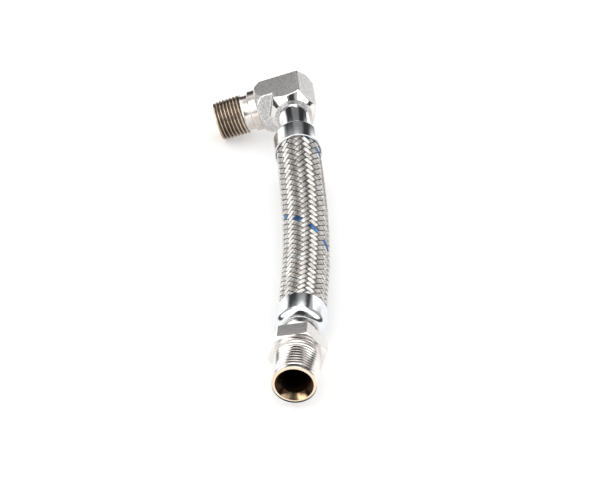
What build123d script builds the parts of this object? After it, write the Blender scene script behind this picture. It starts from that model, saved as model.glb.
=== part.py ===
from build123d import *

import math
import os

# Braided supply line: a short steel-braided hose with a straight male end and a male elbow.
#
# Frame: millimetres, +Z up. The origin is the centre of the front mouth. The front fitting lies
# along Y, with its mouth facing -Y, and the elbow's thread points to -X and a little down.

# ---------------------------------------------------------------- driving dimensions
PITCH = 25.4 / 14  # 14 threads to the inch
CREST_AT_END = 10.36  # thread crest radius at the small end
TAPER = 1 / 32  # growth of the radius for each mm of thread (1:16 on diameter)
THREAD_DEPTH = 1.30
CREST_FLAT = 0.12  # width of a crest, as a share of the pitch
LEAD_LENGTH = 2.6  # unthreaded lead of each male end
LEAD_CHAMFER = 2.1  # part of the lead that is chamfered
LEAD_DROP = 0.55
RUN_OUT = 0.4  # plain stretch between the last turn and the shoulder
FRONT_THREAD_LENGTH = 20.3
ELBOW_THREAD_LENGTH = 14.2
RELIEF_RADIUS = 9.2

BORE = 6.2  # radius of the water way through the metal pieces
MOUTH = 8.5  # radius of the countersink at each mouth
MOUTH_DEPTH = 2.3

HEX_ACROSS_FLATS = 23.8  # 15/16 inch
HEX_LENGTH = 8.3
HEX_ROLL = 11.0  # degrees, top flat leaning towards -X
HEX_CORNER_RADIUS = 12.9  # where the end chamfer starts on the hexagon's rear face
HEX_FACE_RADIUS = 12.1  # the same on its front face, whose chamfer is deeper
HEX_CHAMFER_RISE = 0.55
OVERLAP = 0.2  # how far turned stretches run into the hexagons that they join

NECK_RADIUS = 7.8
NECK_CONE = 0.9  # cone between the hexagon and the neck
FRONT_NECK_LENGTH = 8.9
COLLAR_RADIUS = 9.4  # locking collar that the ferrule's rounded end hooks over
COLLAR_START = 1.6
TAIL_RADIUS = 7.5
TAIL_LENGTH = 11.0
TAIL_GROOVES = 4
TAIL_GROOVE_DEPTH = 0.4
TAIL_GROOVE_STEP = 0.3  # length of each groove's steep side
TAIL_NOSE = 0.6  # chamfer at the tail's end

FERRULE_RADIUS = 12.0
FERRULE_WALL = 1.0
SHOULDER = 4.0  # radius of the ferrule's rounded end
FERRULE_BARREL = 10.7
FERRULE_LIP = 0.35

BRAID_RADIUS = 11.0
BRAID_THICKNESS = 0.7
CORE_RADIUS = BRAID_RADIUS - BRAID_THICKNESS
HOSE_BORE = TAIL_RADIUS
# The hose is one tube, in two solids that meet where the front fitting's axis reaches its wall.
HOSE_CUT = 162.75

# The hose from end face to end face, as it lies: a long bow to the left that lifts at the elbow.
FERRULE_START = FRONT_THREAD_LENGTH + HEX_LENGTH + FRONT_NECK_LENGTH
HOSE_START = FERRULE_START + SHOULDER
ROUTE = [
    (0.0, HOSE_START, 0.0),
    (0.0, 80.0, 0.0),
    (-1.9, 116.0, 0.1),
    (-5.7, 152.2, 1.4),
    (-11.54, 192.79, 4.64),
]
RUN_SHARE = 0.45  # share of the shorter run that an arc uses

# The elbow: arm A carries the thread, arm B faces the hose.
ELBOW_ROLL = 16.8  # degrees, top flat leaning towards arm A
REAR_NECK_LENGTH = 18.4
REAR_NECK_FLARE = 0.8  # growth of the neck's radius from the ferrule to the elbow
ARM_B_LENGTH = 14.7  # elbow centre to arm B's end face
ARM_A_HEX = 16.8  # elbow centre to the end of arm A's hexagon
ARM_A_SHOULDER = 25.4  # elbow centre to the large end of the thread
ARM_COLLAR_RADIUS = 10.6
ARM_COLLAR_END = 21.4
ARM_COLLAR_EDGE = 0.4  # chamfer of the collar's free edge
ARM_RELIEF_END = 0.6  # plain stretch from the relief to the thread's large end
ARM_HALF_HEIGHT = 12.0
ARM_FLAT_HALF = 6.9  # half width of the top flat
ARM_RIDGE = 12.9  # centre to the side ridge
RIDGE_ROUNDING = 2.2
FLAT_ROUNDING = 0.8
ARM_CORNER_RADIUS = 14.2  # just outside the section's corners
ARM_A_END_RADIUS = 11.9  # where the turned chamfers meet the arms' end faces
ARM_A_CHAMFER_LENGTH = 4.5
ARM_B_END_RADIUS = 9.6
ARM_B_CHAMFER_LENGTH = 4.6
OUTER_CORNER_CUT = 14.6  # elbow centre to the flat across the outer corner
SOCKET_DEPTH = 8.0  # how far the rear stem goes into arm B
CROSS_DRILL = 6.6  # radius of the drilling from arm B that meets arm A's water way


# ---------------------------------------------------------------- helpers
def thread_outline(start, length, step):
    """Crest and root points of ring grooves, from the small end inwards, as (along, radius)."""
    points = []
    turns = int((length - LEAD_LENGTH - RUN_OUT) / PITCH)
    flat = CREST_FLAT * PITCH
    for turn in range(turns):
        along = LEAD_LENGTH + turn * PITCH
        crest = CREST_AT_END + TAPER * along
        points.append((start + step * along, crest))
        points.append((start + step * (along + flat), crest))
        points.append((start + step * (along + PITCH / 2), crest - THREAD_DEPTH))
        points.append((start + step * (along + PITCH / 2 + flat / 2), crest - THREAD_DEPTH))
    last = LEAD_LENGTH + turns * PITCH
    points.append((start + step * last, CREST_AT_END + TAPER * last))
    return points


def stem_outline(start, step):
    """Locking collar and grooved tail of a hose stem, from the ferrule's start, as (along, radius)."""
    points = [
        (start + step * COLLAR_START, NECK_RADIUS),
        (start + step * COLLAR_START, COLLAR_RADIUS),
        (start + step * SHOULDER, COLLAR_RADIUS),
        (start + step * SHOULDER, TAIL_RADIUS),
    ]
    spacing = TAIL_LENGTH / (TAIL_GROOVES + 1)
    for number in range(TAIL_GROOVES):
        along = SHOULDER + spacing * (number + 0.5)
        points.append((start + step * along, TAIL_RADIUS))
        points.append((start + step * (along + TAIL_GROOVE_STEP), TAIL_RADIUS - TAIL_GROOVE_DEPTH))
        points.append((start + step * (along + spacing / 2), TAIL_RADIUS))
    end = SHOULDER + TAIL_LENGTH
    points.append((start + step * (end - TAIL_NOSE), TAIL_RADIUS))
    points.append((start + step * end, TAIL_RADIUS - TAIL_NOSE))
    points.append((start + step * end, BORE))
    return points


def turned_sketch(plane, points):
    """A closed sketch of turned outline points on a plane whose x runs along the axis."""
    with BuildSketch(plane) as profile:
        with BuildLine():
            Polyline(*points, close=True)
        make_face()
    return profile.sketch


def ferrule_profile(plane):
    """Half section of a ferrule: rounded end at x = 0, open mouth at the far end."""
    length = SHOULDER + FERRULE_BARREL
    inner = FERRULE_RADIUS - FERRULE_WALL
    centre = FERRULE_RADIUS - SHOULDER
    inside_arc = SHOULDER - FERRULE_WALL
    half = math.sqrt(0.5)
    hole_x = SHOULDER - math.sqrt(inside_arc**2 - (centre - NECK_RADIUS) ** 2)
    with BuildSketch(plane) as profile:
        with BuildLine():
            ThreePointArc(
                (0, centre),
                (SHOULDER * (1 - half), centre + SHOULDER * half),
                (SHOULDER, FERRULE_RADIUS),
            )
            Polyline(
                (SHOULDER, FERRULE_RADIUS),
                (length - FERRULE_LIP, FERRULE_RADIUS),
                (length, FERRULE_RADIUS - FERRULE_LIP),
                (length, inner + FERRULE_LIP),
                (length - FERRULE_LIP, inner),
                (SHOULDER, inner),
            )
            ThreePointArc(
                (SHOULDER, inner),
                (SHOULDER - inside_arc * half, centre + inside_arc * half),
                (SHOULDER - inside_arc, centre),
            )
            Polyline(
                (SHOULDER - inside_arc, centre),
                (hole_x, NECK_RADIUS),
                (0, NECK_RADIUS),
                (0, centre),
            )
        make_face()
    return profile.sketch


def arm_section(plane):
    """The elbow arm's six-sided section, with rounded ridges."""
    with BuildSketch(plane) as section:
        with BuildLine():
            Polyline(
                (ARM_FLAT_HALF, ARM_HALF_HEIGHT),
                (ARM_RIDGE, 0),
                (ARM_FLAT_HALF, -ARM_HALF_HEIGHT),
                (-ARM_FLAT_HALF, -ARM_HALF_HEIGHT),
                (-ARM_RIDGE, 0),
                (-ARM_FLAT_HALF, ARM_HALF_HEIGHT),
                close=True,
            )
        make_face()
        fillet(section.vertices().group_by(Axis.Y)[1], RIDGE_ROUNDING)
        flat_corners = section.vertices().filter_by(lambda v: abs(v.Y) > ARM_HALF_HEIGHT / 2)
        fillet(flat_corners, FLAT_ROUNDING)
    return section.sketch


def turned_limit(end, chamfer_length, end_radius):
    """Outline of the turned envelope that chamfers an arm's corners at its end face."""
    back = -2 * ARM_RIDGE
    return [
        (back, 0),
        (back, ARM_CORNER_RADIUS),
        (end - chamfer_length, ARM_CORNER_RADIUS),
        (end, end_radius),
        (end, 0),
    ]


def hose_layer(route, radii, outer, inner):
    """A tube of the given radii along the hose's route."""
    with BuildPart() as layer:
        with BuildLine():
            FilletPolyline(*route, radius=radii)
        with BuildSketch(Plane(origin=route[0], x_dir=(1, 0, 0), z_dir=(0, 1, 0))):
            Circle(outer)
            Circle(inner, mode=Mode.SUBTRACT)
        sweep()
    return layer


# ---------------------------------------------------------------- places and axes
front_axis = Axis((0, 0, 0), (0, 1, 0))
front_half = Plane(origin=(0, 0, 0), x_dir=(0, 1, 0), z_dir=(1, 0, 0))

rear_run = (Vector(*ROUTE[-1]) - Vector(*ROUTE[-2])).normalized()
hose_end = Vector(*ROUTE[-1])
rear_ferrule_start = hose_end + rear_run * SHOULDER
arm_b_face = rear_ferrule_start + rear_run * REAR_NECK_LENGTH
elbow_centre = arm_b_face + rear_run * ARM_B_LENGTH

arm_b = rear_run * -1
level_up = (Vector(0, 0, 1) - arm_b * arm_b.Z).normalized()
level_left = level_up.cross(arm_b) * -1
roll = math.radians(ELBOW_ROLL)
top_normal = level_up * math.cos(roll) + level_left * math.sin(roll)
arm_a = level_left * math.cos(roll) - level_up * math.sin(roll)

# x along arm A, y along arm B, z out of the top flat
elbow_plane = Plane(origin=elbow_centre, x_dir=arm_a, z_dir=top_normal)
arm_a_end = Plane(origin=elbow_centre + arm_a * ARM_A_HEX, x_dir=arm_b, z_dir=arm_a)
arm_b_end = Plane(origin=arm_b_face, x_dir=arm_a, z_dir=arm_b)
mitre_plane = Plane(origin=elbow_centre, x_dir=top_normal, z_dir=(arm_a - arm_b).normalized())
thread_half = Plane(origin=elbow_centre, x_dir=arm_a, z_dir=arm_b)
hose_half = Plane(origin=elbow_centre, x_dir=arm_b, z_dir=arm_a)
rear_half = Plane(origin=rear_ferrule_start, x_dir=arm_b, z_dir=arm_a)
arm_a_axis = Axis(elbow_centre, arm_a)
rear_axis = Axis(rear_ferrule_start, arm_b)

# ---------------------------------------------------------------- front fitting
hex_start = FRONT_THREAD_LENGTH
hex_end = hex_start + HEX_LENGTH
hex_corner = HEX_ACROSS_FLATS / math.sqrt(3)

front_outline = [
    (0, BORE),
    (0, CREST_AT_END - LEAD_DROP),
    (LEAD_CHAMFER, CREST_AT_END),
    *thread_outline(0, FRONT_THREAD_LENGTH, 1),
    (hex_start - OVERLAP, CREST_AT_END - THREAD_DEPTH + TAPER * hex_start),
    (hex_start + OVERLAP, CREST_AT_END - THREAD_DEPTH + TAPER * hex_start),
    (hex_end - OVERLAP, NECK_RADIUS + NECK_CONE),
    (hex_end + NECK_CONE, NECK_RADIUS),
    *stem_outline(FERRULE_START, 1),
]
with BuildPart() as front_fitting:
    hex_plane = Plane(origin=(0, hex_start, 0), x_dir=(1, 0, 0), z_dir=(0, 1, 0))
    with BuildSketch(hex_plane):
        RegularPolygon(radius=hex_corner, side_count=6, rotation=-HEX_ROLL)
    extrude(amount=HEX_LENGTH)
    chamfer_points = [
        (hex_start, 0),
        (hex_start, HEX_FACE_RADIUS),
        (hex_start + HEX_CHAMFER_RISE * 2, hex_corner + OVERLAP),
        (hex_end - HEX_CHAMFER_RISE, hex_corner + OVERLAP),
        (hex_end, HEX_CORNER_RADIUS),
        (hex_end, 0),
    ]
    add(turned_sketch(front_half, chamfer_points))
    revolve(axis=front_axis, mode=Mode.INTERSECT)
    add(turned_sketch(front_half, front_outline))
    revolve(axis=front_axis)
    with BuildSketch(front_half):
        with BuildLine():
            Polyline(
                (0, 0),
                (0, MOUTH),
                (MOUTH_DEPTH, BORE),
                (FERRULE_START + SHOULDER + TAIL_LENGTH, BORE),
                (FERRULE_START + SHOULDER + TAIL_LENGTH, 0),
                close=True,
            )
        make_face()
    revolve(axis=front_axis, mode=Mode.SUBTRACT)
front_fitting.part.label = "front_fitting"

# ---------------------------------------------------------------- ferrules
with BuildPart() as front_ferrule:
    add(ferrule_profile(Plane(origin=(0, FERRULE_START, 0), x_dir=(0, 1, 0), z_dir=(1, 0, 0))))
    revolve(axis=front_axis)
front_ferrule.part.label = "front_ferrule"

with BuildPart() as rear_ferrule:
    add(ferrule_profile(rear_half))
    revolve(axis=rear_axis)
rear_ferrule.part.label = "rear_ferrule"

# ---------------------------------------------------------------- hose core and braid
corners = [Vector(*point) for point in ROUTE]
radii = []
for before, corner, after in zip(corners, corners[1:], corners[2:]):
    turn = math.radians((corner - before).get_angle(after - corner))
    shorter = min((corner - before).length, (after - corner).length)
    radii.append(RUN_SHARE * shorter / math.tan(turn / 2))
print("hose arc radii, mm:", [round(radius) for radius in radii])

hose_tube = hose_layer(ROUTE, radii, CORE_RADIUS, HOSE_BORE)
hose_cut = Plane(origin=(0, HOSE_CUT, 0), x_dir=(1, 0, 0), z_dir=(0, 1, 0))
with BuildPart() as inner_hose:
    add(hose_tube.part)
    split(bisect_by=hose_cut, keep=Keep.BOTTOM)
inner_hose.part.label = "inner_hose"
with BuildPart() as inner_hose_rear:
    add(hose_tube.part)
    split(bisect_by=hose_cut, keep=Keep.TOP)
inner_hose_rear.part.label = "inner_hose_rear"
wire_braid = hose_layer(ROUTE, radii, BRAID_RADIUS, CORE_RADIUS)
wire_braid.part.label = "wire_braid"

with BuildLine() as hose_path:
    FilletPolyline(*ROUTE, radius=radii)
hose_length = hose_path.wire().length
section = math.pi * (CORE_RADIUS**2 - HOSE_BORE**2)
print("hose length, mm:", round(hose_length, 1))
print("core volume over section x length:", round(hose_tube.part.volume / (section * hose_length), 4))

# ---------------------------------------------------------------- rear stem
rear_outline = [
    (-REAR_NECK_LENGTH - SOCKET_DEPTH, BORE),
    (-REAR_NECK_LENGTH - SOCKET_DEPTH, NECK_RADIUS),
    (-REAR_NECK_LENGTH, NECK_RADIUS),
    (-REAR_NECK_LENGTH, NECK_RADIUS + REAR_NECK_FLARE),
    (0, NECK_RADIUS),
    *stem_outline(0, 1),
]
with BuildPart() as rear_stem:
    add(turned_sketch(rear_half, rear_outline))
    revolve(axis=rear_axis)
rear_stem.part.label = "rear_stem"

# ---------------------------------------------------------------- elbow body
with BuildPart() as threaded_arm:
    extrude(arm_section(arm_a_end), amount=ARM_A_HEX + 2 * ARM_RIDGE, dir=arm_a * -1)
    add(turned_sketch(thread_half, turned_limit(ARM_A_HEX, ARM_A_CHAMFER_LENGTH, ARM_A_END_RADIUS)))
    revolve(axis=arm_a_axis, mode=Mode.INTERSECT)
    split(bisect_by=mitre_plane, keep=Keep.TOP)

with BuildPart() as hose_arm:
    extrude(arm_section(arm_b_end), amount=ARM_B_LENGTH + 2 * ARM_RIDGE, dir=rear_run)
    add(turned_sketch(hose_half, turned_limit(ARM_B_LENGTH, ARM_B_CHAMFER_LENGTH, ARM_B_END_RADIUS)))
    revolve(axis=rear_axis, mode=Mode.INTERSECT)
    split(bisect_by=mitre_plane, keep=Keep.BOTTOM)

thread_tip = ARM_A_SHOULDER + ELBOW_THREAD_LENGTH
arm_a_outline = [
    (0, 0),
    (thread_tip, 0),
    (thread_tip, CREST_AT_END - LEAD_DROP),
    (thread_tip - LEAD_CHAMFER, CREST_AT_END),
    *thread_outline(thread_tip, ELBOW_THREAD_LENGTH, -1),
    (ARM_A_SHOULDER - ARM_RELIEF_END, RELIEF_RADIUS),
    (ARM_COLLAR_END, RELIEF_RADIUS),
    (ARM_COLLAR_END - ARM_COLLAR_EDGE, ARM_COLLAR_RADIUS),
    (0, ARM_COLLAR_RADIUS),
]
with BuildPart() as elbow_body:
    add(threaded_arm.part)
    add(hose_arm.part)
    corner_cut = Plane(
        origin=elbow_centre - (arm_a + arm_b).normalized() * OUTER_CORNER_CUT,
        x_dir=top_normal,
        z_dir=(arm_a + arm_b).normalized(),
    )
    split(bisect_by=corner_cut, keep=Keep.TOP)
    add(turned_sketch(thread_half, arm_a_outline))
    revolve(axis=arm_a_axis)
    water_way = [
        (0, 0),
        (0, BORE),
        (thread_tip - MOUTH_DEPTH, BORE),
        (thread_tip, MOUTH),
        (thread_tip, 0),
    ]
    add(turned_sketch(thread_half, water_way))
    revolve(axis=arm_a_axis, mode=Mode.SUBTRACT)
    socket = [
        (ARM_B_LENGTH, 0),
        (ARM_B_LENGTH, NECK_RADIUS),
        (ARM_B_LENGTH - SOCKET_DEPTH, NECK_RADIUS),
        (ARM_B_LENGTH - SOCKET_DEPTH, CROSS_DRILL),
        (-CROSS_DRILL, CROSS_DRILL),
        (-CROSS_DRILL, 0),
    ]
    add(turned_sketch(hose_half, socket))
    revolve(axis=rear_axis, mode=Mode.SUBTRACT)
elbow_body.part.label = "elbow_body"

# ---------------------------------------------------------------- export
print("elbow centre:", elbow_centre)
print("arm A, arm B, top normal:", arm_a, arm_b, top_normal)
os.makedirs("parts", exist_ok=True)
export_step(front_fitting.part, "parts/front_fitting.step")
export_step(front_ferrule.part, "parts/front_ferrule.step")
export_step(inner_hose.part, "parts/inner_hose.step")
export_step(inner_hose_rear.part, "parts/inner_hose_rear.step")
export_step(wire_braid.part, "parts/wire_braid.step")
export_step(rear_ferrule.part, "parts/rear_ferrule.step")
export_step(rear_stem.part, "parts/rear_stem.step")
export_step(elbow_body.part, "parts/elbow_body.step")
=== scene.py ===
"""The looks of the braided supply line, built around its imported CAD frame.

Lengths are millimetres until a mesh is made, which is in metres. Every turned surface is a stack
of rings, and a ring is an array of points round an axis. Angles round an axis start at the top
and grow towards the right, seen along the axis from its start.
"""

import math

import bmesh
import bpy
import numpy as np
from mathutils import Matrix, Vector


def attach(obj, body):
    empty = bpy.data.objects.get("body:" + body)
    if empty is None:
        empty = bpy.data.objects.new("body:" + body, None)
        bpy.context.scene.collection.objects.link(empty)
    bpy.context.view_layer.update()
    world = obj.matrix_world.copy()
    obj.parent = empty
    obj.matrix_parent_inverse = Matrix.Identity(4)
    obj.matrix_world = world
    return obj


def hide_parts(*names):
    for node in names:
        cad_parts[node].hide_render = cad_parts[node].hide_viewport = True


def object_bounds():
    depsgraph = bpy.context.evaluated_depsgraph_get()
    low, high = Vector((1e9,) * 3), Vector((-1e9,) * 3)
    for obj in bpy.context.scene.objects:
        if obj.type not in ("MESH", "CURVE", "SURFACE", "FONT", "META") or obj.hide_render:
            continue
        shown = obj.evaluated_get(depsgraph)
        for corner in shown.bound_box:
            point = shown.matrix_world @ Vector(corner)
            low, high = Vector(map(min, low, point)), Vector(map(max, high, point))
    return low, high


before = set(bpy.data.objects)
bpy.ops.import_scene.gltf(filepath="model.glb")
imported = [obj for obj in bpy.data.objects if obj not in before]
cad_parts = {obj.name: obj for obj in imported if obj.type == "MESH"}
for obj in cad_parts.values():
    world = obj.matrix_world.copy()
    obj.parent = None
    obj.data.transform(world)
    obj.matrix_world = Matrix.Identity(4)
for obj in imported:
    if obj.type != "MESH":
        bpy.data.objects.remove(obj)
cad_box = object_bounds()

MM = 0.001
BODY = "root"

# ---------------------------------------------------------------- sizes
PITCH = 25.4 / 14
CREST_AT_END = 10.36
TAPER = 1 / 32
THREAD_DEPTH = 1.30
CREST_SHARE = 0.14  # width of a crest, as a share of the pitch
ROOT_SHARE = 0.10  # the same for a root
LEAD_CHAMFER = 2.1
LEAD_DROP = 0.55
FRONT_THREAD = 20.3
ELBOW_THREAD = 14.2
RELIEF_RADIUS = 9.2

BORE = 6.2
MOUTH = 8.5
MOUTH_DEPTH = 2.3

HEX_HALF = 23.8 / 2
HEX_END = FRONT_THREAD + 8.3
HEX_ROLL = 11.0
HEX_CORNER_ROUNDING = 0.5
HEX_FACE_RADIUS = 12.1  # where the chamfer meets the face towards the thread
HEX_REAR_RADIUS = 12.9
HEX_CHAMFER_SLOPE = 0.335  # length along the axis for each mm of radius
HEX_EDGE = 0.1  # small bevel between a chamfer and its end face
HEX_FINE_STEPS = [0.3, 0.8, 1.4, 2.2, 3.2]  # degrees from a corner at which there are extra angles

NECK = 7.8
NECK_CONE = 0.9
FERRULE_START = HEX_END + 8.9
COLLAR = 9.4
COLLAR_START = 1.6
TAIL = 7.5
TAIL_LENGTH = 11.0
TAIL_NOSE = 0.6  # chamfer at the tail's end

FERRULE_RADIUS = 12.0
FERRULE_WALL = 1.0
SHOULDER = 4.0
FERRULE_LENGTH = 14.7

HOSE_BORE = 7.5
CORE_RADIUS = 10.3
HOSE_STATIONS = 110  # rings along each wall of the inner hose
ROUTE = [
    (0.0, 0.0415, 0.0),
    (0.0, 0.080, 0.0),
    (-0.0019, 0.116, 0.0001),
    (-0.0057, 0.1522, 0.0014),
    (-0.01154, 0.19279, 0.00464),
]

STRANDS = 18  # in each direction
BRAID_PITCH = 4.13  # from one strand to the next along the hose
BRAID_DRIFT = 0.0020  # share by which the pitch grows in each mm
BRAID_MIDWAY = 75.0  # where the pitch is BRAID_PITCH
BRAID_LEAD = STRANDS * BRAID_PITCH
STRAND_STEP = 360 / STRANDS
WIRES = 7  # in each strand
WIRE_RADIUS = 0.155
WIRE_SPACING = 0.32
WIRE_STRAY = 0.012  # how far wires lie from their even places
WIRE_STATIONS = 236  # rings along a wire
WIRE_SIDES = 5
WIRE_INSET = 0.3  # from the hose's end faces to the wires' ends
BRAID_MIDDLE = 10.62  # radius half way between the strands that lie over and under
WEAVE_RISE = 0.2
WEAVE_SLOPE = 0.42  # smaller makes strands change from over to under more steeply
BRAID_SWELL = 0.18
SWELL_LENGTH = 22.0  # from a ferrule's mouth to where the braid has its full width
TRACER_ANGLE = 19.0  # where the tracer lies over the others, at TRACER_ALONG
TRACER_ALONG = 65.0

REAR_NECK = 18.4
REAR_NECK_FLARE = 0.8
ARM_B_LENGTH = 14.7
ARM_A_LENGTH = 16.8
ARM_A_SHOULDER = 25.4
COLLAR_A_RADIUS = 10.6
COLLAR_A_END = 21.4
ARM_FLAT_HALF = 6.9
ARM_HALF_HEIGHT = 12.0
ARM_RIDGE = 12.9
ARM_CORNER_RADIUS = 14.2
ARM_A_END_RADIUS = 11.9
ARM_A_CHAMFER = 4.5
ARM_B_END_RADIUS = 9.6
ARM_B_CHAMFER = 4.6
ARM_FLAT_ROUNDING = 0.9
ARM_RIDGE_ROUNDING = 2.2
ARM_POINT_SPACING = 1.5  # between the section's points along its straight sides
OUTER_CUT = 14.6
ELBOW_ROLL = 16.8
SOCKET_DEPTH = 8.0
FORGING_VOXEL = 0.3
ARM_OVERLAP = 0.5  # how far the threaded end runs into the forging
ARM_FILLET = 0.7  # growth of the collar's radius where it meets the forging


# ---------------------------------------------------------------- places
class Place:
    """An axis in space: points are given by how far along it, how far from it and at what angle."""

    def __init__(self, origin, axis, up):
        self.origin = np.array(origin, float)
        self.axis = np.array(axis, float)
        self.up = np.array(up, float)
        self.side = np.cross(self.axis, self.up)

    def points(self, along, radius, degrees):
        angle = np.radians(degrees)[:, None]
        along = np.broadcast_to(along, degrees.shape)[:, None]
        radius = np.broadcast_to(radius, degrees.shape)[:, None]
        outward = self.side * np.sin(angle) + self.up * np.cos(angle)
        return self.origin + self.axis * along + outward * radius


def unit(vector):
    vector = np.array(vector, float)
    return vector / np.linalg.norm(vector)


route_mm = np.array(ROUTE) / MM
rear_run = unit(route_mm[-1] - route_mm[-2])
rear_ferrule_start = route_mm[-1] + rear_run * SHOULDER
arm_b_face = rear_ferrule_start + rear_run * REAR_NECK
elbow_centre = arm_b_face + rear_run * ARM_B_LENGTH
arm_b = -rear_run
level_up = unit(np.array([0, 0, 1]) - arm_b * arm_b[2])
level_left = -np.cross(level_up, arm_b)
roll = math.radians(ELBOW_ROLL)
top_normal = level_up * math.cos(roll) + level_left * math.sin(roll)
arm_a = level_left * math.cos(roll) - level_up * math.sin(roll)

front_place = Place((0, 0, 0), (0, 1, 0), (0, 0, 1))
front_ferrule_place = Place((0, FERRULE_START, 0), (0, 1, 0), (0, 0, 1))
rear_ferrule_place = Place(rear_ferrule_start, arm_b, level_up)
thread_tip = elbow_centre + arm_a * (ARM_A_SHOULDER + ELBOW_THREAD)
elbow_thread_place = Place(thread_tip, -arm_a, top_normal)


# ---------------------------------------------------------------- meshes
def mesh_piece(name, points, faces, materials, face_material=None, sharp=35):
    """A mesh object riding on the body, from points in mm."""
    mesh = bpy.data.meshes.new(name)
    mesh.from_pydata((np.asarray(points) * MM).tolist(), [], faces)
    for material in materials:
        mesh.materials.append(material)
    if face_material is not None:
        mesh.polygons.foreach_set("material_index", np.asarray(face_material, np.int32))
    tidy_mesh(mesh)
    mesh.shade_smooth()
    mesh.set_sharp_from_angle(angle=math.radians(sharp))
    piece = bpy.data.objects.new(name, mesh)
    bpy.context.scene.collection.objects.link(piece)
    return piece


def tidy_mesh(mesh):
    """Joins points that coincide, drops faces with no area and turns all faces outwards."""
    work = bmesh.new()
    work.from_mesh(mesh)
    bmesh.ops.remove_doubles(work, verts=work.verts, dist=1e-7)
    bmesh.ops.dissolve_degenerate(work, edges=work.edges, dist=1e-8)
    bmesh.ops.recalc_face_normals(work, faces=work.faces)
    work.to_mesh(mesh)
    work.free()


def ring_faces(rings, around, closed, spiral=None):
    """Quads between neighbouring rings; closed also joins the last ring to the first.

    spiral is (first ring, last ring, rings in a turn) of a stretch whose rings climb as they go
    round, so that each closes on the ring one turn further on.
    """

    def after_seam(ring):
        if spiral is None or not spiral[0] <= ring <= spiral[1]:
            return ring
        return min(ring + spiral[2], spiral[1])

    faces = []
    last = rings if closed else rings - 1
    for ring in range(last):
        beyond = (ring + 1) % rings
        for step in range(around - 1):
            here, there = ring * around + step, beyond * around + step
            faces.append((here, here + 1, there + 1, there))
        near, far = after_seam(ring) * around, after_seam(beyond) * around
        faces.append(((ring + 1) * around - 1, near, far, (beyond + 1) * around - 1))
    return faces


def ring_piece(name, rings, materials, ring_material=None, sharp=35, spiral=None):
    """A piece skinned over a stack of rings. ring_material gives each band's material number."""
    rings = np.array(rings)
    around = rings.shape[1]
    faces = ring_faces(len(rings), around, True, spiral)
    numbers = None
    if ring_material is not None:
        numbers = np.repeat(ring_material, around)
    return mesh_piece(name, rings.reshape(-1, 3), faces, materials, numbers, sharp)


def rounded(profile, steps=4):
    """A profile of (along, radius, rounding) corners as (along, radius) points with arcs."""
    points = []
    corners = [np.array(corner[:2], float) for corner in profile]
    for number, corner in enumerate(corners):
        rounding = profile[number][2]
        if rounding == 0 or number in (0, len(corners) - 1):
            points.append(corner)
            continue
        before = unit(corners[number - 1] - corner)
        after = unit(corners[number + 1] - corner)
        half = math.acos(np.clip(before @ after, -1, 1)) / 2
        reach = rounding / math.tan(half)
        centre = corner + unit(before + after) * rounding / math.sin(half)
        start = corner + before * reach - centre
        end = corner + after * reach - centre
        for step in range(steps + 1):
            share = step / steps
            points.append(centre + unit(start * (1 - share) + end * share) * rounding)
    return points


def turned(place, profile, degrees):
    """Rings of a turned profile of (along, radius) points."""
    return [place.points(along, radius, degrees) for along, radius in profile]


EVEN = np.arange(0, 360, 2.0)


# ---------------------------------------------------------------- materials
def new_material(name):
    material = bpy.data.materials.new(name)
    material.use_nodes = True
    nodes = material.node_tree.nodes
    return material, nodes, material.node_tree.links, nodes["Principled BSDF"]


def noise(nodes, links, scale, detail=3.0, stretch=(1, 1, 1)):
    """A noise texture in object space; scale is in features to the metre."""
    place = nodes.new("ShaderNodeTexCoord")
    mapping = nodes.new("ShaderNodeMapping")
    mapping.inputs["Scale"].default_value = stretch
    texture = nodes.new("ShaderNodeTexNoise")
    texture.inputs["Scale"].default_value = scale
    texture.inputs["Detail"].default_value = detail
    links.new(place.outputs["Object"], mapping.inputs["Vector"])
    links.new(mapping.outputs["Vector"], texture.inputs["Vector"])
    return texture


def ramp(nodes, links, source, low, high, start=0.35, end=0.65):
    """Maps a texture's value to colours from low to high."""
    node = nodes.new("ShaderNodeValToRGB")
    node.color_ramp.elements[0].position = start
    node.color_ramp.elements[1].position = end
    node.color_ramp.elements[0].color = (*low, 1)
    node.color_ramp.elements[1].color = (*high, 1)
    links.new(source, node.inputs["Fac"])
    return node


def metal(name, low, high, rough, grain, depth, cloud=90.0, stretch=(1, 1, 1)):
    """Metal with clouded colour and roughness and a fine surface grain.

    low and high are its colours, rough the roughness range, grain the grain's features to the
    metre and depth the grain's height in metres.
    """
    material, nodes, links, shader = new_material(name)
    shader.inputs["Metallic"].default_value = 1.0
    clouds = noise(nodes, links, cloud, 4.0, stretch)
    colour = ramp(nodes, links, clouds.outputs["Fac"], low, high)
    links.new(colour.outputs["Color"], shader.inputs["Base Color"])
    spread = nodes.new("ShaderNodeMapRange")
    spread.inputs["To Min"].default_value = rough[0]
    spread.inputs["To Max"].default_value = rough[1]
    fine = noise(nodes, links, grain, 5.0, stretch)
    links.new(fine.outputs["Fac"], spread.inputs["Value"])
    links.new(spread.outputs["Result"], shader.inputs["Roughness"])
    bump = nodes.new("ShaderNodeBump")
    bump.inputs["Strength"].default_value = 1.0
    bump.inputs["Distance"].default_value = depth
    links.new(fine.outputs["Fac"], bump.inputs["Height"])
    links.new(bump.outputs["Normal"], shader.inputs["Normal"])
    return material


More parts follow.
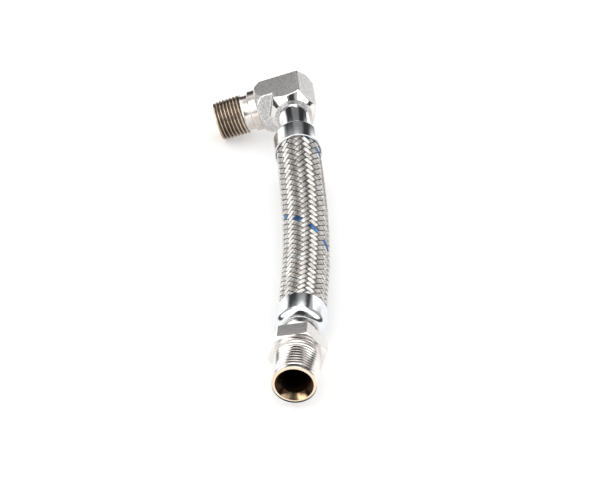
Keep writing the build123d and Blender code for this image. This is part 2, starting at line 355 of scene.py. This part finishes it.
def paint_shade_by_height(material, low, high):
    """Paints shade into a material's colour: dulls it towards low where its mesh's height attribute falls.
    """
    nodes, links = material.node_tree.nodes, material.node_tree.links
    shader = nodes["Principled BSDF"]
    before = shader.inputs["Base Color"].links[0].from_socket
    height = nodes.new("ShaderNodeAttribute")
    height.attribute_name = "height"
    tone = ramp(nodes, links, height.outputs["Fac"], low, high, 0.0, 0.9)
    mix = nodes.new("ShaderNodeMix")
    mix.data_type = "RGBA"
    mix.blend_type = "MULTIPLY"
    mix.inputs["Factor"].default_value = 1.0
    links.new(before, mix.inputs["A"])
    links.new(tone.outputs["Color"], mix.inputs["B"])
    links.new(mix.outputs["Result"], shader.inputs["Base Color"])


def paint_shade_above(material, colour, low, high):
    """Paints shade into a material: darkens it towards colour between two heights in mm, with a ragged
    edge.
    """
    nodes, links = material.node_tree.nodes, material.node_tree.links
    shader = nodes["Principled BSDF"]
    before = shader.inputs["Base Color"].links[0].from_socket
    place = nodes.new("ShaderNodeTexCoord")
    parts = nodes.new("ShaderNodeSeparateXYZ")
    links.new(place.outputs["Object"], parts.inputs["Vector"])
    share = nodes.new("ShaderNodeMapRange")
    share.inputs["From Min"].default_value = low * MM
    share.inputs["From Max"].default_value = high * MM
    links.new(parts.outputs["Z"], share.inputs["Value"])
    ragged = noise(nodes, links, 400, 3.0)
    edge = nodes.new("ShaderNodeMath")
    edge.operation = "MULTIPLY_ADD"
    edge.inputs[1].default_value = 0.5
    links.new(ragged.outputs["Fac"], edge.inputs[0])
    links.new(share.outputs["Result"], edge.inputs[2])
    cover = ramp(nodes, links, edge.outputs["Value"], (0, 0, 0), (1, 1, 1), 0.3, 0.8)
    mix = nodes.new("ShaderNodeMix")
    mix.data_type = "RGBA"
    links.new(cover.outputs["Color"], mix.inputs["Factor"])
    links.new(before, mix.inputs["A"])
    mix.inputs["B"].default_value = (*colour, 1)
    links.new(mix.outputs["Result"], shader.inputs["Base Color"])


def soft_material(name, low, high, roughness, grain, depth):
    """A dull material with mottled colour and a fine grain."""
    material, nodes, links, shader = new_material(name)
    shader.inputs["Roughness"].default_value = roughness
    fine = noise(nodes, links, grain, 4.0)
    colour = ramp(nodes, links, fine.outputs["Fac"], low, high)
    links.new(colour.outputs["Color"], shader.inputs["Base Color"])
    bump = nodes.new("ShaderNodeBump")
    bump.inputs["Strength"].default_value = 1.0
    bump.inputs["Distance"].default_value = depth
    links.new(fine.outputs["Fac"], bump.inputs["Height"])
    links.new(bump.outputs["Normal"], shader.inputs["Normal"])
    return material


plated = metal("nickel_plate", (0.79, 0.76, 0.73), (0.90, 0.88, 0.86), (0.10, 0.20), 900, 0.00001)
# the front thread's roots are coloured darker than the plate
thread_root = metal("thread_root", (0.54, 0.49, 0.44), (0.68, 0.63, 0.58), (0.16, 0.28), 1500, 0.00001)
bare_brass = metal("bare_brass", (0.72, 0.48, 0.24), (0.85, 0.62, 0.36), (0.12, 0.26), 1200, 0.00001)
bore_brass = metal("bore_brass", (0.10, 0.06, 0.03), (0.20, 0.12, 0.06), (0.35, 0.5), 700, 0.00003)
ferrule_steel = metal("ferrule_steel", (0.70, 0.72, 0.74), (0.81, 0.83, 0.85), (0.08, 0.16), 700, 0.000008)
stem_plate = metal("stem_plate", (0.70, 0.71, 0.73), (0.84, 0.85, 0.87), (0.05, 0.11), 600, 0.000006)
forged = metal("forged_plate", (0.44, 0.44, 0.44), (0.80, 0.78, 0.76), (0.22, 0.36), 1700, 0.00012, 1500)
turned_plate = metal("turned_plate", (0.68, 0.66, 0.64), (0.82, 0.80, 0.78), (0.06, 0.13), 900, 0.00002)
worn_plate = metal("worn_plate", (0.52, 0.47, 0.42), (0.76, 0.72, 0.67), (0.16, 0.30), 700, 0.00003)
worn_crest = metal("worn_crest", (0.40, 0.32, 0.25), (0.62, 0.53, 0.43), (0.2, 0.34), 1500, 0.00002)
# the elbow thread's roots are coloured darker than its crests
dark_thread_root = metal("dark_thread_root", (0.13, 0.10, 0.08), (0.24, 0.19, 0.15), (0.3, 0.45), 1500, 0.00002)
rim_brass = metal("rim_brass", (0.82, 0.64, 0.46), (0.93, 0.80, 0.64), (0.16, 0.28), 1200, 0.00001)
wire_steel = metal("wire_steel", (0.60, 0.57, 0.53), (0.84, 0.83, 0.81), (0.16, 0.30), 1800, 0.00001, 220)
# painted shade: each wire is darkened where its strand dives under the crossing strands
paint_shade_by_height(wire_steel, (0.14, 0.12, 0.11), (1.0, 1.0, 1.0))
countersink = metal("countersink", (0.62, 0.40, 0.20), (0.84, 0.62, 0.38), (0.14, 0.28), 1200, 0.00002)
# painted shade: the countersink darkens to near black towards its top and sides, and only its lowest part
# stays bright brass
paint_shade_above(countersink, (0.035, 0.02, 0.012), -7.6, -4.2)
rubber = soft_material("hose_rubber", (0.015, 0.015, 0.015), (0.04, 0.04, 0.04), 0.7, 900, 0.00004)
# The yarn is as glossy as the wires round it, so it is made in the same way.
yarn = metal("tracer_yarn", (0.03, 0.07, 0.20), (0.17, 0.34, 0.64), (0.16, 0.28), 2500, 0.00002, 300)


# ---------------------------------------------------------------- threads
def thread_rings(place, length, degrees):
    """Rings of a right-handed taper thread, whether each is in a root, and rings in a turn.

    phases are the places of a turn's rings, as shares of it from the middle of a crest.
    """
    half_crest, half_root = CREST_SHARE / 2, ROOT_SHARE / 2
    phases = [0.0, half_crest, 0.28, 0.5 - half_root, 0.5 + half_root, 0.72, 1 - half_crest]
    rings, in_root = [], []
    for turn in range(-1, int(length / PITCH) + 1):
        for phase in phases:
            along = np.clip((turn + phase + degrees / 360) * PITCH, 0, length)
            rings.append(place.points(along, thread_radius(along, degrees), degrees))
            in_root.append(0.2 < phase < 0.7)
    return rings, in_root, len(phases)


def thread_radius(along, degrees):
    """Radius of the thread's surface, cut back by the chamfer at its small end."""
    phase = (along / PITCH - degrees / 360) % 1.0
    away = np.minimum(phase, 1 - phase) * 2
    fall = np.clip((away - CREST_SHARE) / (1 - CREST_SHARE - ROOT_SHARE), 0, 1)
    cut = CREST_AT_END + TAPER * along - THREAD_DEPTH * fall
    cone = CREST_AT_END - LEAD_DROP * np.clip(1 - along / LEAD_CHAMFER, 0, 1)
    return np.minimum(cut, cone)


# ---------------------------------------------------------------- front fitting
def hex_angles():
    """Angles round the front fitting, closer together at the hexagon's corners."""
    corners = [30 - HEX_ROLL + 60 * number for number in range(6)]
    angles = set(np.arange(0, 360, 2.0))
    for corner in corners:
        angles.add(corner % 360)
        for step in HEX_FINE_STEPS:
            angles.add((corner - step) % 360)
            angles.add((corner + step) % 360)
    return np.array(sorted(angles))


def hex_radius(degrees):
    """Distance from the axis to the hexagon's side, with rounded corners."""
    from_flat = np.radians((degrees + HEX_ROLL + 30) % 60 - 30)
    side = HEX_HALF / np.cos(from_flat)
    corner = HEX_HALF / math.cos(math.pi / 6)
    centre = corner - HEX_CORNER_ROUNDING / math.cos(math.pi / 6)
    from_corner = math.pi / 6 - np.abs(from_flat)
    across = centre * np.sin(from_corner)
    inside = np.clip(HEX_CORNER_ROUNDING**2 - across**2, 0, None)
    arc = centre * np.cos(from_corner) + np.sqrt(inside)
    near = across < HEX_CORNER_ROUNDING * math.sin(math.pi / 6)
    return np.where(near, np.minimum(side, arc), side)


def front_fitting():
    degrees = hex_angles()
    place = front_place
    end = FERRULE_START + SHOULDER + TAIL_LENGTH
    tip = CREST_AT_END - LEAD_DROP
    mouth = rounded(
        [
            (end, BORE, 0),
            (MOUTH_DEPTH, BORE, 0.15),
            (0, MOUTH, 0.12),
            (0, tip, 0),
        ]
    )
    rings = turned(place, mouth, degrees)
    plate, rim, root, bore, sink = range(5)
    bands = [bore] * 5 + [sink] * 3 + [rim] * (len(rings) - 9) + [plate]
    threads, in_root, turn = thread_rings(place, FRONT_THREAD, degrees)
    spiral = (len(rings), len(rings) + len(threads) - 1, turn)
    rings += threads
    bands += [root if inside else plate for inside in in_root]

    side = hex_radius(degrees)
    face = np.minimum(side, HEX_FACE_RADIUS)
    rear = np.minimum(side, HEX_REAR_RADIUS)
    near, far = FRONT_THREAD + HEX_EDGE, HEX_END - HEX_EDGE
    hexagon = [
        place.points(FRONT_THREAD, face - HEX_EDGE, degrees),
        place.points(near, face, degrees),
        place.points(near + (side - face) * HEX_CHAMFER_SLOPE, side, degrees),
        place.points(far - (side - rear) * HEX_CHAMFER_SLOPE, side, degrees),
        place.points(far, rear, degrees),
        place.points(HEX_END, rear - HEX_EDGE, degrees),
    ]
    rings += hexagon
    bands += [plate] * len(hexagon)
    back = rounded(
        [
            (HEX_END, NECK + NECK_CONE + 1, 0),
            (HEX_END, NECK + NECK_CONE, 0.2),
            (HEX_END + NECK_CONE, NECK, 0.5),
            (FERRULE_START + COLLAR_START, NECK, 0),
            (FERRULE_START + COLLAR_START, COLLAR, 0),
            (FERRULE_START + SHOULDER, COLLAR, 0),
            (FERRULE_START + SHOULDER, TAIL, 0),
            (end - TAIL_NOSE, TAIL, 0),
            (end, TAIL - TAIL_NOSE, 0),
        ]
    )
    rings += turned(place, back, degrees)
    bands += [plate] * len(back)
    piece = ring_piece(
        "front_fitting_body",
        rings,
        [plated, rim_brass, thread_root, bore_brass, countersink],
        bands,
        28,
        spiral,
    )
    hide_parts("front_fitting")
    return piece


# ---------------------------------------------------------------- ferrules and rear stem
def ferrule(name, place, node):
    """A drawn cup with a rounded end, whose open mouth has a rolled edge."""
    inner = FERRULE_RADIUS - FERRULE_WALL
    inside = SHOULDER - FERRULE_WALL
    centre = FERRULE_RADIUS - SHOULDER
    lip = FERRULE_WALL / 2 - 0.05
    profile = rounded(
        [
            (0.4, NECK + 0.02, 0),
            (0.0, NECK + 0.35, 0.2),
            (0.0, FERRULE_RADIUS, SHOULDER),
            (FERRULE_LENGTH, FERRULE_RADIUS, lip),
            (FERRULE_LENGTH, inner, lip),
            (FERRULE_WALL, inner, inside),
            (FERRULE_WALL, centre - 0.1, 0),
            (FERRULE_WALL, NECK + 0.02, 0),
        ],
        steps=14,
    )
    piece = ring_piece(name, turned(place, profile, EVEN), [ferrule_steel])
    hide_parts(node)
    return piece


def rear_stem():
    end = SHOULDER + TAIL_LENGTH
    profile = rounded(
        [
            (-REAR_NECK - SOCKET_DEPTH, BORE, 0),
            (-REAR_NECK - SOCKET_DEPTH, NECK, 0),
            (-REAR_NECK, NECK, 0),
            (-REAR_NECK, NECK + REAR_NECK_FLARE, 0.2),
            (0, NECK, 0),
            (COLLAR_START, NECK, 0),
            (COLLAR_START, COLLAR, 0),
            (SHOULDER, COLLAR, 0),
            (SHOULDER, TAIL, 0),
            (end - TAIL_NOSE, TAIL, 0),
            (end, TAIL - TAIL_NOSE, 0),
            (end, BORE, 0),
        ]
    )
    rings = turned(rear_ferrule_place, profile, EVEN)
    piece = ring_piece("rear_stem_body", rings, [stem_plate])
    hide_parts("rear_stem")
    return piece


# ---------------------------------------------------------------- elbow
def arm_outline(steps=6):
    """The arm's six-sided section as (sideways, up) points, with rounded corners."""
    corners = [
        (ARM_FLAT_HALF, ARM_HALF_HEIGHT, ARM_FLAT_ROUNDING),
        (ARM_RIDGE, 0, ARM_RIDGE_ROUNDING),
        (ARM_FLAT_HALF, -ARM_HALF_HEIGHT, ARM_FLAT_ROUNDING),
        (-ARM_FLAT_HALF, -ARM_HALF_HEIGHT, ARM_FLAT_ROUNDING),
        (-ARM_RIDGE, 0, ARM_RIDGE_ROUNDING),
        (-ARM_FLAT_HALF, ARM_HALF_HEIGHT, ARM_FLAT_ROUNDING),
    ]
    wrapped = [corners[-1]] + corners + [corners[0]]
    arcs = np.array(rounded(wrapped, steps)[1:-1])
    points = []
    for start, end in zip(arcs, np.roll(arcs, -1, axis=0)):
        pieces = max(1, int(np.linalg.norm(end - start) / ARM_POINT_SPACING))
        for piece in range(pieces):
            points.append(start + (end - start) * piece / pieces)
    return np.array(points)


def elbow_forging():
    """The two mitred arms, bored and socketed, softened as a forging is."""
    section = arm_outline()
    sideways, height = section[:, 0], section[:, 1]
    spread = np.hypot(sideways, height)
    circle = section / spread[:, None]

    def on_arm_a(along, points):
        along = np.broadcast_to(along, len(points))
        return np.stack([along, points[:, 0], points[:, 1]], 1)

    def on_arm_b(along, points):
        along = np.broadcast_to(along, len(points))
        return np.stack([points[:, 0], along, points[:, 1]], 1)

    def arm_rings(on_arm, length, chamfer, end_radius):
        """Rings from an arm's end face to where it meets the outer corner's cut."""
        reach = np.minimum(spread, end_radius)
        over = (spread - reach) / (ARM_CORNER_RADIUS - end_radius)
        cut = -OUTER_CUT * math.sqrt(2) - sideways
        return [
            on_arm(length, circle * reach[:, None]),
            on_arm(length - over * chamfer, section),
            on_arm(np.maximum(sideways, cut), section),
        ]

    corner = np.maximum(sideways, -OUTER_CUT / math.sqrt(2))
    mitre = np.stack([corner, corner, height], 1)
    bore = circle * BORE
    socket = circle * NECK
    rings = arm_rings(on_arm_a, ARM_A_LENGTH, ARM_A_CHAMFER, ARM_A_END_RADIUS)
    rings.append(mitre)
    rings += arm_rings(on_arm_b, ARM_B_LENGTH, ARM_B_CHAMFER, ARM_B_END_RADIUS)[::-1]
    rings += [
        on_arm_b(ARM_B_LENGTH, socket),
        on_arm_b(ARM_B_LENGTH - SOCKET_DEPTH, socket),
        on_arm_b(ARM_B_LENGTH - SOCKET_DEPTH, bore),
        on_arm_a(bore[:, 0], bore),
        on_arm_a(ARM_A_LENGTH, bore),
    ]
    piece = ring_piece("elbow_forging", rings, [forged])
    soften(piece)
    machine_chamfer(piece)
    axes = Matrix((arm_a, arm_b, top_normal)).transposed().to_4x4()
    axes.translation = Vector(elbow_centre * MM)
    piece.data.transform(axes)
    piece.data.update()
    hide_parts("elbow_body")
    return piece


def machine_chamfer(piece):
    """Gives the turned chamfer at arm B's end a polished surface: its faces lean by about 45 degrees."""
    mesh = piece.data
    mesh.materials.append(turned_plate)
    start = ARM_B_LENGTH - ARM_B_CHAMFER - FORGING_VOXEL
    for face in mesh.polygons:
        leaning = 0.5 < face.normal.y < 0.85
        if face.center.y / MM > start and leaning:
            face.material_index = 1


def soften(piece):
    """Rounds a piece's edges a little, by remeshing it finely and relaxing the result."""
    bpy.context.view_layer.objects.active = piece
    remesh = piece.modifiers.new("remesh", "REMESH")
    remesh.mode = "VOXEL"
    remesh.voxel_size = FORGING_VOXEL * MM
    relax = piece.modifiers.new("relax", "SMOOTH")
    relax.factor = 0.5
    relax.iterations = 3
    for modifier in (remesh.name, relax.name):
        bpy.ops.object.modifier_apply(modifier=modifier)
    piece.data.shade_smooth()


def elbow_thread():
    """The machined end of the elbow: mouth, thread, relief and collar."""
    degrees = EVEN
    place = elbow_thread_place
    shoulder = ELBOW_THREAD
    hexagon = ARM_A_SHOULDER + ELBOW_THREAD - ARM_A_LENGTH
    collar_start = ARM_A_SHOULDER + ELBOW_THREAD - COLLAR_A_END
    mouth = rounded(
        [
            (hexagon + ARM_OVERLAP, BORE, 0),
            (MOUTH_DEPTH, BORE, 0.15),
            (0, MOUTH, 0.12),
            (0, CREST_AT_END - LEAD_DROP, 0),
        ]
    )
    rings = turned(place, mouth, degrees)
    plate, rim, root, bore, crest = range(5)
    bands = [bore] * 5 + [rim] * (len(rings) - 5)
    threads, in_root, turn = thread_rings(place, ELBOW_THREAD, degrees)
    spiral = (len(rings), len(rings) + len(threads) - 1, turn)
    rings += threads
    bands += [root if inside else crest for inside in in_root]
    back = rounded(
        [
            (shoulder, CREST_AT_END - THREAD_DEPTH + TAPER * shoulder, 0),
            (shoulder + 0.6, RELIEF_RADIUS, 0.3),
            (collar_start, RELIEF_RADIUS, 0.3),
            (collar_start + 0.3, COLLAR_A_RADIUS, 0.3),
            (hexagon - 0.5, COLLAR_A_RADIUS, 0.4),
            (hexagon + 0.1, COLLAR_A_RADIUS + ARM_FILLET, 0),
            (hexagon + ARM_OVERLAP, COLLAR_A_RADIUS + ARM_FILLET, 0),
        ]
    )
    rings += turned(place, back, degrees)
    bands += [plate] * len(back)
    piece = ring_piece(
        "elbow_thread_end",
        rings,
        [worn_plate, bare_brass, dark_thread_root, bore_brass, worn_crest],
        bands,
        28,
        spiral,
    )
    return piece


# ---------------------------------------------------------------- hose
def route_line():
    """Points of the hose's smooth line, read from the route's NURBS spline, in mm."""
    curve = bpy.data.curves.new("hose_route", "CURVE")
    curve.dimensions = "3D"
    spline = curve.splines.new("NURBS")
    spline.points.add(len(ROUTE) - 1)
    for point, place in zip(spline.points, ROUTE):
        point.co = (*place, 1)
    spline.order_u = 3
    spline.use_endpoint_u = True
    spline.resolution_u = 60
    holder = bpy.data.objects.new("hose_route", curve)
    bpy.context.scene.collection.objects.link(holder)
    graph = bpy.context.evaluated_depsgraph_get()
    mesh = bpy.data.meshes.new_from_object(holder.evaluated_get(graph))
    line = np.array([vertex.co for vertex in mesh.vertices]) / MM
    bpy.data.objects.remove(holder)
    bpy.data.meshes.remove(mesh)
    return line


class Hose:
    """The hose's line as a place that bends."""

    def __init__(self, line):
        steps = np.linalg.norm(np.diff(line, axis=0), axis=1)
        self.line = line
        self.along = np.concatenate([[0], np.cumsum(steps)])
        self.length = self.along[-1]
        tangent = np.gradient(line, self.along, axis=0)
        self.tangent = tangent / np.linalg.norm(tangent, axis=1)[:, None]
        up = np.array([0, 0, 1]) - self.tangent * self.tangent[:, 2:]
        self.up = up / np.linalg.norm(up, axis=1)[:, None]
        self.side = np.cross(self.tangent, self.up)

    def at(self, values, along):
        return np.stack([np.interp(along, self.along, values[:, axis]) for axis in range(3)], 1)

    def points(self, along, radius, degrees):
        angle = np.radians(degrees)[:, None]
        outward = self.at(self.side, along) * np.sin(angle) + self.at(self.up, along) * np.cos(angle)
        return self.at(self.line, along) + outward * np.asarray(radius)[:, None]


def braid_radius(hose, along):
    """The braid's middle radius, a little larger between the ferrules than inside them."""
    mouth = FERRULE_LENGTH - SHOULDER
    from_front = np.clip((along - mouth) / SWELL_LENGTH, 0, 1)
    from_rear = np.clip((hose.length - mouth - along) / SWELL_LENGTH, 0, 1)
    return BRAID_MIDDLE + BRAID_SWELL * np.sin(from_front * from_rear * math.pi / 2)


def inner_hose(hose):
    """The hose's tube: rings along its bore, and back along its outside under the braid."""
    degrees = np.arange(0, 360, 6.0)
    stations = np.linspace(0, hose.length, HOSE_STATIONS)
    walls = [(along, HOSE_BORE) for along in stations]
    for along in stations[::-1]:
        walls.append((along, CORE_RADIUS - BRAID_MIDDLE + braid_radius(hose, along)))
    rings = []
    for along, radius in walls:
        spread = np.full(degrees.shape, along)
        rings.append(hose.points(spread, np.full(degrees.shape, radius), degrees))
    piece = ring_piece("inner_hose_tube", rings, [rubber])
    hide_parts("inner_hose")
    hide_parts("inner_hose_rear")
    return piece


def wound(along):
    """Degrees that a strand has turned by a place on the hose, whose pitch grows slowly."""
    stretch = np.log(1 + BRAID_DRIFT * (along - BRAID_MIDWAY)) / BRAID_DRIFT
    return 360 / BRAID_LEAD * stretch


def wire_line(hose, hand, strand, offset, along):
    """A wire's angle and radius along the hose, and how high it lies, from -1 under to 1 over.

    hand is 1 or -1 and offset is across its strand in mm.
    """
    turned_by = wound(along)
    down_start = TRACER_ANGLE + wound(TRACER_ALONG)
    up_start = TRACER_ANGLE - wound(TRACER_ALONG) - STRAND_STEP / 2
    lay = math.atan(2 * math.pi * BRAID_MIDDLE / BRAID_LEAD)
    shift = math.degrees(offset / math.cos(lay) / BRAID_MIDDLE)
    start = up_start if hand > 0 else down_start
    degrees = start + STRAND_STEP * strand + hand * turned_by + shift
    other = down_start if hand > 0 else up_start
    crossing = (degrees + hand * turned_by - other) / STRAND_STEP
    middle = 2.5 if hand > 0 else 0.5
    wave = np.cos(2 * math.pi * (crossing + strand - middle) / 4)
    rise = np.sin(np.clip(wave / WEAVE_SLOPE, -1, 1) * math.pi / 2)
    return degrees, braid_radius(hose, along) + WEAVE_RISE * rise, rise


def tube_points(line, radius, sides):
    """Rings of a thin tube round a line of points, which must not run along the slanted direction."""
    slanted = np.array([0.31, 0.17, 0.93])
    tangent = np.gradient(line, axis=0)
    tangent /= np.linalg.norm(tangent, axis=1)[:, None]
    across = np.cross(tangent, slanted)
    across /= np.linalg.norm(across, axis=1)[:, None]
    third = np.cross(tangent, across)
    rings = []
    for step in range(sides):
        angle = 2 * math.pi * step / sides
        rings.append(line + radius * (across * math.cos(angle) + third * math.sin(angle)))
    return np.stack(rings, 1)


def tube_faces(rings, sides, first):
    """Faces of one capped tube whose points start at number first."""
    faces = []
    for quad in ring_faces(rings, sides, False):
        faces.append(tuple(first + corner for corner in quad))
    faces.append(tuple(first + side for side in range(sides)))
    last = first + (rings - 1) * sides
    faces.append(tuple(last + side for side in reversed(range(sides))))
    return faces


def braid_piece(name, hose, hand, strands, material, seed):
    """Strands of wires laid one way round the hose, as one mesh."""
    random = np.random.default_rng(seed)
    along = np.linspace(WIRE_INSET, hose.length - WIRE_INSET, WIRE_STATIONS)
    points, faces, heights, first = [], [], [], 0
    for strand in strands:
        for wire in range(WIRES):
            offset = (wire - (WIRES - 1) / 2) * WIRE_SPACING + random.normal(0, WIRE_STRAY)
            degrees, spread, rise = wire_line(hose, hand, strand, offset, along)
            spread = spread + random.normal(0, WIRE_STRAY)
            heights.append(np.repeat(rise, WIRE_SIDES))
            line = hose.points(along, spread, degrees)
            points.append(tube_points(line, WIRE_RADIUS, WIRE_SIDES).reshape(-1, 3))
            faces += tube_faces(len(along), WIRE_SIDES, first)
            first += len(along) * WIRE_SIDES
    mesh = bpy.data.meshes.new(name)
    mesh.from_pydata((np.concatenate(points) * MM).tolist(), [], faces)
    mesh.materials.append(material)
    mesh.shade_smooth()
    # how high each wire lies, which the wire material turns into painted shade
    height = mesh.attributes.new("height", "FLOAT", "POINT")
    height.data.foreach_set("value", np.concatenate(heights).astype(np.float32))
    piece = bpy.data.objects.new(name, mesh)
    bpy.context.scene.collection.objects.link(piece)
    return piece


def braid(hose):
    """All the strands: half of each direction's to a mesh, and the tracer yarn by itself."""
    half = STRANDS // 2
    groups = [
        ("braid_rising_a", 1, range(0, half), 1),
        ("braid_rising_b", 1, range(half, STRANDS), 2),
        ("braid_falling_a", -1, range(1, half), 3),
        ("braid_falling_b", -1, range(half, STRANDS), 4),
    ]
    pieces = []
    for name, hand, strands, seed in groups:
        pieces.append(braid_piece(name, hose, hand, strands, wire_steel, seed))
    pieces.append(braid_piece("tracer_strand", hose, -1, [0], yarn, 5))
    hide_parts("wire_braid")
    return pieces


# ---------------------------------------------------------------- stage
CAMERA_PLACE = Vector((0.0587, -0.7285, 0.5704))
CAMERA_YAW = 4.32  # degrees, turned to the left of +Y
CAMERA_DIP = 34.11
CAMERA_ROLL = -1.04
CAMERA_LENS = 128.7
CAMERA_SENSOR = 36
STUDIO_RADIUS = 0.8
FLOOR_HALF = 4.0


def add_camera():
    data = bpy.data.cameras.new("camera")
    data.lens = CAMERA_LENS
    data.sensor_width = CAMERA_SENSOR
    data.clip_start = 0.01
    camera = bpy.data.objects.new("camera", data)
    bpy.context.scene.collection.objects.link(camera)
    turn = Matrix.Rotation(math.radians(CAMERA_YAW), 4, "Z")
    tilt = Matrix.Rotation(math.radians(90 - CAMERA_DIP), 4, "X")
    lean = Matrix.Rotation(math.radians(CAMERA_ROLL), 4, "Z")
    camera.matrix_world = Matrix.Translation(CAMERA_PLACE) @ turn @ tilt @ lean
    bpy.context.scene.camera = camera


def flat_material(name, grey, glow):
    """An even, dull grey that glows a little."""
    material, _, _, shader = new_material(name)
    shader.inputs["Base Color"].default_value = (grey, grey, grey, 1)
    shader.inputs["Roughness"].default_value = 0.9
    shader.inputs["Specular IOR Level"].default_value = 0.0
    shader.inputs["Emission Color"].default_value = (1, 1, 1, 1)
    shader.inputs["Emission Strength"].default_value = glow
    return material


def add_floor():
    mesh = bpy.data.meshes.new("floor")
    corners = [(-1, -1), (1, -1), (1, 1), (-1, 1)]
    level = cad_box[0][2]
    mesh.from_pydata([(x * FLOOR_HALF, y * FLOOR_HALF, level) for x, y in corners], [], [(0, 1, 2, 3)])
    mesh.materials.append(flat_material("floor", 0.8, 0.33))
    floor = bpy.data.objects.new("floor", mesh)
    bpy.context.scene.collection.objects.link(floor)


def soft_step(value, edge, width):
    """Rises smoothly from 0 to 1 as value passes edge."""
    share = np.clip((value - edge) / width + 0.5, 0, 1)
    return share * share * (3 - 2 * share)


def patch(azimuth, elevation, sides, levels, width):
    """1 inside a soft-edged patch of the studio's walls and 0 outside it."""
    across = soft_step(azimuth, sides[0], width) * (1 - soft_step(azimuth, sides[1], width))
    up = soft_step(elevation, levels[0], width) * (1 - soft_step(elevation, levels[1], width))
    return across * up


def studio_tone(azimuth, elevation):
    """How bright the studio is in each direction from the part, painted one patch over another.

    Azimuth 0 is behind the part, +Y, and grows towards +X; the camera stands near 184. round_back is
    the same angle from 0 to 360, for patches on the camera's side.
    """
    tone = np.full(azimuth.shape, 0.5)
    round_back = azimuth % 360

    def paint(value, mask):
        nonlocal tone
        tone = tone * (1 - mask) + value * mask

    # dark floor level on the camera's side
    low = 1 - soft_step(elevation, 15, 6)
    paint(0.06, low * patch(round_back, elevation, (78, 282), (-9, 90), 10))
    # a lamp on each side of the camera, whose edges slant, and the top light
    slant = 0.35 * np.clip(elevation - 30, 0, None)
    paint(2.0, patch(azimuth, elevation, (92 - slant, 140), (15, 80), 8))
    paint(2.5, patch(round_back, elevation, (204, 268 + slant), (15, 80), 8))
    paint(2.1, soft_step(elevation, 60, 8))
    # low cards: one by the camera and two behind the part
    paint(1.7, patch(round_back, elevation, (165, 225), (-9, 13), 8))
    paint(1.8, patch(azimuth, elevation, (-60, -34), (-9, 20), 6))
    paint(1.8, patch(azimuth, elevation, (25, 40), (-9, 26), 6))
    # dark backdrop behind the part, with a grey window and a bright top
    top = 45 - 0.6 * np.clip(-10 - azimuth, 0, None)
    paint(0.04, patch(azimuth, elevation, (-36.5, 26), (-9, top), 6))
    paint(0.24, patch(azimuth, elevation, (-17, 12), (26, 70), 8))
    paint(2.2, patch(azimuth, elevation, (-42, 22), (42, 100), 4))
    # the dark camera itself
    paint(0.05, patch(round_back, elevation, (158, 200), (17, 68), 8))
    return tone


def add_studio():
    """A dome seen only in reflections, whose glow follows studio_tone."""
    middle = Vector((-0.005, 0.12, cad_box[0][2]))
    azimuths = np.arange(-180, 180, 2.0)
    elevations = np.arange(-1, 90.5, 1.5)
    points, tones = [], []
    for elevation in elevations:
        for azimuth in azimuths:
            turn, lift = math.radians(azimuth), math.radians(elevation)
            way = Vector((math.sin(turn) * math.cos(lift), math.cos(turn) * math.cos(lift), math.sin(lift)))
            points.append(tuple(middle + way * STUDIO_RADIUS))
            tones.append(float(studio_tone(np.array([azimuth]), np.array([elevation]))[0]))
    mesh = bpy.data.meshes.new("studio")
    around = len(azimuths)
    faces = ring_faces(len(elevations), around, False)
    faces.append(tuple(range(len(points) - around, len(points))))
    mesh.from_pydata(points, [], faces)
    tone = mesh.attributes.new("tone", "FLOAT", "POINT")
    tone.data.foreach_set("value", np.array(tones, np.float32))
    material, nodes, links, shader = new_material("studio")
    shader.inputs["Base Color"].default_value = (0, 0, 0, 1)
    shader.inputs["Specular IOR Level"].default_value = 0.0
    reader = nodes.new("ShaderNodeAttribute")
    reader.attribute_name = "tone"
    links.new(reader.outputs["Fac"], shader.inputs["Emission Strength"])
    shader.inputs["Emission Color"].default_value = (1, 1, 1, 1)
    mesh.materials.append(material)
    dome = bpy.data.objects.new("studio", mesh)
    bpy.context.scene.collection.objects.link(dome)
    dome.visible_camera = False
    dome.visible_diffuse = False
    dome.visible_shadow = False


def add_light():
    world = bpy.data.worlds.new("daylight")
    world.use_nodes = True
    background = world.node_tree.nodes["Background"]
    background.inputs["Color"].default_value = (1, 1, 1, 1)
    background.inputs["Strength"].default_value = 1.1
    bpy.context.scene.world = world
    add_studio()
    bpy.context.scene.view_settings.view_transform = "Standard"


# ---------------------------------------------------------------- build
add_camera()
hose = Hose(route_line())
tube = inner_hose(hose)
strands = braid(hose)
rear = [
    ferrule("rear_ferrule_cup", rear_ferrule_place, "rear_ferrule"),
    rear_stem(),
    elbow_forging(),
    elbow_thread(),
]
front = [front_fitting(), ferrule("front_ferrule_cup", front_ferrule_place, "front_ferrule")]
for piece in [tube] + strands + rear + front:
    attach(piece, BODY)
add_floor()
add_light()
